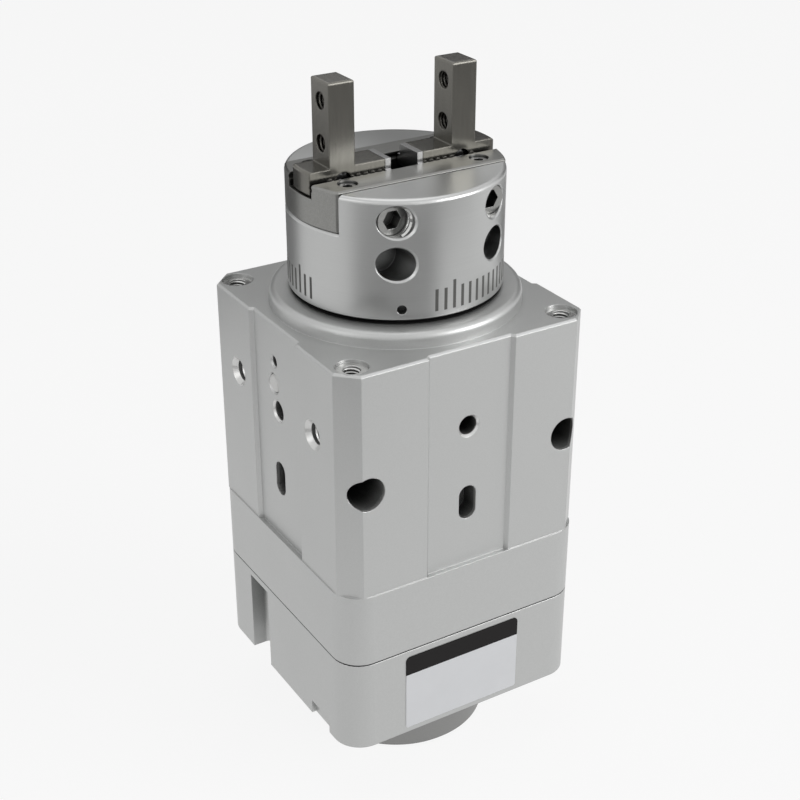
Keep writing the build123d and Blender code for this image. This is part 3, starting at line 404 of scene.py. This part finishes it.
# Joint of the two housings: a dark ring all round, set back between their broken edges, which is
# painted shadow in the hairline between them.
joint_half = 0.02095
joint_corner = 0.0044
joint_steps = 9
joint_section = ((1.0, 0.02597), (1.0, 0.02623), (0.985, 0.02611), (0.985, 0.02609))
joint_rim = []
for side_x, side_y, start in ((1, 1, 0), (-1, 1, 90), (-1, -1, 180), (1, -1, 270)):
    for step in range(joint_steps + 1):
        turn = math.radians(start + 90 * step / joint_steps)
        joint_rim.append((
            side_x * (joint_half - joint_corner) + joint_corner * math.cos(turn),
            side_y * (joint_half - joint_corner) + joint_corner * math.sin(turn),
        ))
joint_form = bmesh.new()
joint_rows = [
    [joint_form.verts.new((x * share, y * share, height)) for x, y in joint_rim]
    for share, height in joint_section
]
for row, loop in enumerate(joint_rows):
    beyond = joint_rows[(row + 1) % len(joint_rows)]
    for index in range(len(joint_rim)):
        after = (index + 1) % len(joint_rim)
        joint_form.faces.new((loop[index], loop[after], beyond[after], beyond[index]))
joint_mesh = mesh_from("joint_shadow_line", joint_form)
hung_on("joint_shadow_line", joint_mesh, rubber_finish, "housing")


# Upper housing: a milled block under the same finish. Its tapped holes and locating holes are cut
# after the blast, so their threads, lips and spot faces stay bright. A white resin plug is pressed
# into the mouth of a cross passage.
dress("upper_housing", housing_finish)

housing_face = 0.02085
strip_face = 0.02025
side_tap_y = 0.01175
side_tap_z = 0.0617
side_tap = {"radius": 0.00165, "pitch": 0.0007, "height": 0.00020}
small_tap = {"radius": 0.00125, "pitch": 0.0005, "height": 0.00015}
corner_holes = (
    ("front_left", -0.01755, -0.01755),
    ("front_right", 0.01755, -0.01755),
    ("rear_left", -0.01755, 0.01755),
    ("rear_right", 0.01755, 0.01755),
)
for name, y in (("side_thread_rear", side_tap_y), ("side_thread_front", -side_tap_y)):
    coil = tapped_thread(
        name, mouth=(-0.0198, y, side_tap_z), inward=(1, 0, 0), depth=0.0056, **side_tap
    )
    hung_on(name, coil, cut_finish, "housing")
for where, x, y in corner_holes:
    name = f"top_thread_{where}"
    coil = tapped_thread(name, mouth=(x, y, 0.0733), inward=(0, 0, -1), depth=0.0060, **small_tap)
    hung_on(name, coil, cut_finish, "housing")


def spot_face(name, x, y):
    """The bright ring that the cutter leaves round a hole in the top."""
    steps = 40
    form = bmesh.new()
    rows = []
    for radius, z in (
        (0.00128, 0.07349), (0.00132, 0.07353), (0.00228, 0.07353), (0.00236, 0.07349),
    ):
        turns = [2 * math.pi * step / steps for step in range(steps)]
        rows.append([
            form.verts.new((x + radius * math.cos(turn), y + radius * math.sin(turn), z))
            for turn in turns
        ])
    for near, far in zip(rows, rows[1:]):
        for step in range(steps):
            after = (step + 1) % steps
            form.faces.new((near[step], near[after], far[after], far[step]))
    return mesh_from(name, form)


for where, x, y in corner_holes:
    name = f"spot_face_{where}"
    hung_on(name, spot_face(name, x, y), cut_finish, "housing")
for name, z in (("finger_port_thread_low", 0.0475), ("finger_port_thread_high", 0.0595)):
    coil = tapped_thread(name, mouth=(0, 0.0193, z), inward=(0, -1, 0), depth=0.0044, **port_tap)
    hung_on(name, coil, cut_finish, "housing")

corner_reach = 0.03885
bolt_x = 0.0170
bolt_z = 0.0553
bolt_rows = ((0.00267, 0.00003), (0.002625, 0.00001), (0.002625, 0.0006), (0.00267, 0.00062))
slot_rows = ((0.00152, 0.00003), (0.001475, 0.00001), (0.001475, 0.0006), (0.00152, 0.00062))
pin_rows = (
    (0.00180, 0.00004), (0.001765, 0.000005), (0.00147, 0.00034),
    (0.00147, 0.0006), (0.00153, 0.00062),
)
tap_rows = (
    (0.00233, 0.00005), (0.002285, 0.000005), (0.001625, 0.00075),
    (0.001625, 0.00085), (0.00168, 0.00087),
)


def mouth_lip(name, centre, inward, straight, rows):
    """The lining of a hole's mouth, from (radius, depth) rows; it follows the corner chamfers."""
    steps = 48
    into = Vector(inward)
    side = Vector((0, 0, 1)).cross(into)
    form = bmesh.new()
    loops = []
    for radius, depth in rows:
        loop = []
        for step in range(steps):
            turn = 2 * math.pi * step / steps
            rise = straight if math.sin(turn) > 0 else -straight
            point = Vector(centre) + side * (radius * math.cos(turn))
            point.z += radius * math.sin(turn) + rise
            behind = max(0.0, abs(point.x) + abs(point.y) - corner_reach)
            loop.append(form.verts.new(point + into * (depth + behind)))
        loops.append(loop)
    for row, loop in enumerate(loops):
        beyond = loops[(row + 1) % len(loops)]
        for step in range(steps):
            after = (step + 1) % steps
            form.faces.new((loop[step], loop[after], beyond[after], beyond[step]))
    return mesh_from(name, form)


lip_finish = worked(
    "cut_edge", colour=(0.72, 0.72, 0.71), roughness=0.28, metallic=0.6,
    marks=blast, spread=0.05, depth=0.00003, edge=0.0001, hollow_painted_shade=0.3,
)
for name, centre, inward, straight, rows in (
    ("bolt_lip_front_left", (-bolt_x, -housing_face, bolt_z), (0, 1, 0), 0, bolt_rows),
    ("bolt_lip_front_right", (bolt_x, -housing_face, bolt_z), (0, 1, 0), 0, bolt_rows),
    ("bolt_lip_rear_left", (-bolt_x, housing_face, bolt_z), (0, -1, 0), 0, bolt_rows),
    ("bolt_lip_rear_right", (bolt_x, housing_face, bolt_z), (0, -1, 0), 0, bolt_rows),
    ("pin_lip_front", (0, -strip_face, 0.0612), (0, 1, 0), 0, pin_rows),
    ("pin_lip_left", (-strip_face, 0, 0.0600), (1, 0, 0), 0, pin_rows),
    ("slot_lip_front", (0, -strip_face, 0.0485), (0, 1, 0), 0.0013, slot_rows),
    ("slot_lip_left", (-strip_face, 0, 0.0485), (1, 0, 0), 0.0013, slot_rows),
    ("side_lip_rear", (-housing_face, side_tap_y, side_tap_z), (1, 0, 0), 0, tap_rows),
    ("side_lip_front", (-housing_face, -side_tap_y, side_tap_z), (1, 0, 0), 0, tap_rows),
):
    lip = mouth_lip(name, centre, inward, straight, rows)
    hung_on(name, lip, lip_finish, "housing")

plug_finish = worked(
    "plug_white", colour=(0.95, 0.95, 0.93), roughness=0.25, metallic=0.0,
    marks=sheet_grain, spread=0.03, depth=0.00003, edge=0.0001, hollow_painted_shade=0.6,
)
dress("passage_plug", plug_finish)


# Bearings and seals round the head: polished bearing steel, a spring circlip, and nitrile rings.
# The rings are pressed or clipped into their seats, and the seals lie in turned grooves.
for node in (
    "upper_bearing_outer_ring", "upper_bearing_inner_ring", "upper_bearing_balls",
    "bearing_circlip",
    "lower_bearing_outer_ring", "lower_bearing_inner_ring", "lower_bearing_balls",
):
    dress(node, bright_finish)
for node in ("dust_seal", "air_seals", "rod_seal", "tube_seal", "piston_seal"):
    dress(node, rubber_finish)


# Head: one turned piece of aluminium under the same anodising, with the cylinder and the piston.
# The lathe leaves rings too fine to see one by one, which pull the light into upright bands.
drum_finish = worked(
    "drum_turned", colour=(0.50, 0.505, 0.50), roughness=0.32, metallic=0.92,
    marks=(12.0, 12.0, 8300.0), spread=0.05, depth=0.00004, edge=0.00015, hollow_painted_shade=0.10,
)
drum_skin = drum_finish.node_tree.nodes["Principled BSDF"]
drum_skin.inputs["Anisotropic"].default_value = 0.45
lay = drum_finish.node_tree.nodes.new("ShaderNodeTangent")
lay.direction_type = "RADIAL"
lay.axis = "Z"
drum_finish.node_tree.links.new(lay.outputs["Tangent"], drum_skin.inputs["Tangent"])
for node in ("gripper_head", "cylinder_tube", "piston"):
    dress(node, drum_finish)


# Scale of the head: dark engraved lines every five degrees low on the drum, with a long one at each
# quarter turn. They run from ten degrees left of the front zero line round the right side and the
# rear to the left side.
drum_radius = 0.0159
line_low = 0.07805
long_line = 0.0043
short_line = 0.0033
line_sunk = 0.00004
line_proud = 0.000012
line_half = math.radians(0.85)
scale_form = bmesh.new()
for degrees in range(-10, 285, 5):
    line_high = line_low + (long_line if degrees % 90 == 0 else short_line)
    rows = []
    for step in (-1, 0, 1):
        turn = math.radians(degrees) + line_half * step
        way = Vector((math.sin(turn), -math.cos(turn), 0))
        rows.append([
            scale_form.verts.new(way * radius + Vector((0, 0, height)))
            for radius, height in (
                (drum_radius - line_sunk, line_low),
                (drum_radius + line_proud, line_low),
                (drum_radius + line_proud, line_high),
                (drum_radius - line_sunk, line_high),
            )
        ])
    for near, far in zip(rows, rows[1:]):
        for index in range(4):
            after = (index + 1) % 4
            scale_form.faces.new((near[index], near[after], far[after], far[index]))
    scale_form.faces.new(rows[0][::-1])
    scale_form.faces.new(rows[-1])
scale_mesh = mesh_from("angle_scale", scale_form)
line_finish = worked(
    "engraved_dark", colour=(0.10, 0.10, 0.095), roughness=0.6, metallic=0.0,
    marks=blast, spread=0.1, depth=0.00003, edge=0.00005, hollow_painted_shade=0.8,
)
hung_on("angle_scale", scale_mesh, line_finish, "head")


# Plugs of the drum's tapped holes: set screws of dark steel, run in below the mouth, so that the
# thread shows round them.
thread_reach = drum_radius - 0.0002
plug_steel = worked(
    "plug_steel", colour=(0.34, 0.34, 0.33), roughness=0.30, metallic=0.95,
    marks=blast, spread=0.2, depth=0.00004, edge=0.0001, hollow_painted_shade=0.05,
)
dress("head_plugs", plug_steel)
for name, x in (("head_thread_left", -0.00795), ("head_thread_right", 0.00795)):
    coil = tapped_thread(
        name, mouth=(x, -0.0145, 0.09145), inward=(0, 1, 0),
        radius=0.00225, pitch=0.0008, depth=0.0019, height=0.00024, reach=thread_reach,
    )
    hung_on(name, coil, cut_finish, "head")


# Rail: hardened steel, ground along the fingers' travel, which leaves fine streaks that way. Four
# small socket screws hold it in the drum.
rail_finish = worked(
    "rail_ground", colour=(0.25, 0.25, 0.24), roughness=0.32, metallic=0.95,
    marks=(300.0, 6000.0, 6000.0), spread=0.22, depth=0.00005, edge=0.00012, hollow_painted_shade=0.10,
)
dress("guide_rail", rail_finish)
dress("guide_screws", screw_finish)


# Drive inside the head: polished pins and levers, and the magnet ring on the piston. The piston rod
# is hardened and blackened, as it shows between the fingers.
for node in ("piston_magnet", "lever_pins", "left_lever", "right_lever"):
    dress(node, bright_finish)
rod_finish = worked(
    "rod_dark", colour=(0.05, 0.05, 0.05), roughness=0.3, metallic=0.9,
    marks=blast, spread=0.2, depth=0.00004, edge=0.0001, hollow_painted_shade=0.1,
)
dress("piston_rod", rod_finish)


# Fingers: hardened steel, ground and left a little darker by the heat treatment, each with a pair
# of tapped holes through its post, and polished balls beside its carriage behind a thin end plate.
finger_finish = worked(
    "finger_ground", colour=(0.155, 0.15, 0.135), roughness=0.22, metallic=0.95,
    marks=(4000.0, 4000.0, 260.0), spread=0.22, depth=0.00005, edge=0.00028, hollow_painted_shade=0.08,
)
for node in ("left_finger", "right_finger"):
    dress(node, finger_finish)
for node in ("left_end_plate", "right_end_plate"):
    dress(node, screw_finish)
for node in ("left_finger_balls", "right_finger_balls"):
    dress(node, bright_finish)
post_face = 0.01175
for side, body, way in (("left", "left_jaw", -1), ("right", "right_jaw", 1)):
    for place, z in (("low", 0.0995), ("high", 0.1055)):
        name = f"{side}_finger_thread_{place}"
        coil = tapped_thread(
            name, mouth=(way * post_face, 0, z), inward=(-way, 0, 0), depth=0.0035, **small_tap
        )
        hung_on(name, coil, finger_finish, body)
